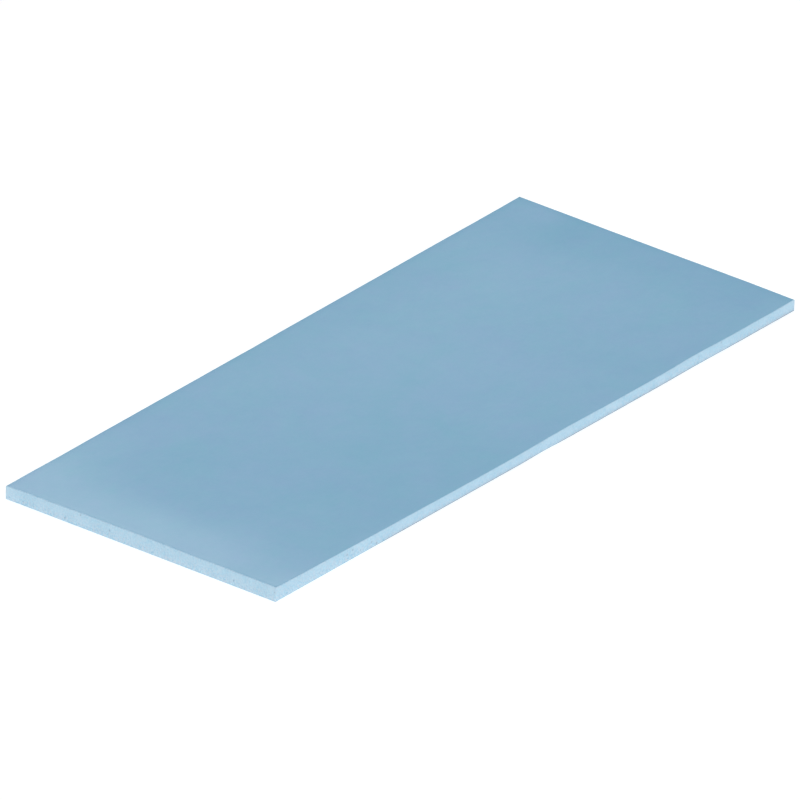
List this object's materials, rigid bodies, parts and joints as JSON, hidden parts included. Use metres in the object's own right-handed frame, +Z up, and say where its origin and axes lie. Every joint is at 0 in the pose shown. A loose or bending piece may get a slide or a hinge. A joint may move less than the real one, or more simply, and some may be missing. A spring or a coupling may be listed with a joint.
{
  "type": "thermal pad sheet",
  "caption": "Flat rectangular sheet of soft pale blue filled silicone, laid between a chip and a heatsink to carry heat across the gap.",
  "frame": {"origin": "middle of the lower face, on the surface that the sheet lies on", "axes": "+X along the long sides, +Y along the short sides, +Z up through the thickness"},
  "size_m": [0.08, 0.04, 0.0015],
  "materials": {
    "filled_silicone": "satin"
  },
  "bodies": {
    "root": {"thermal_pad_sheet": "filled_silicone"}
  },
  "joints": []
}
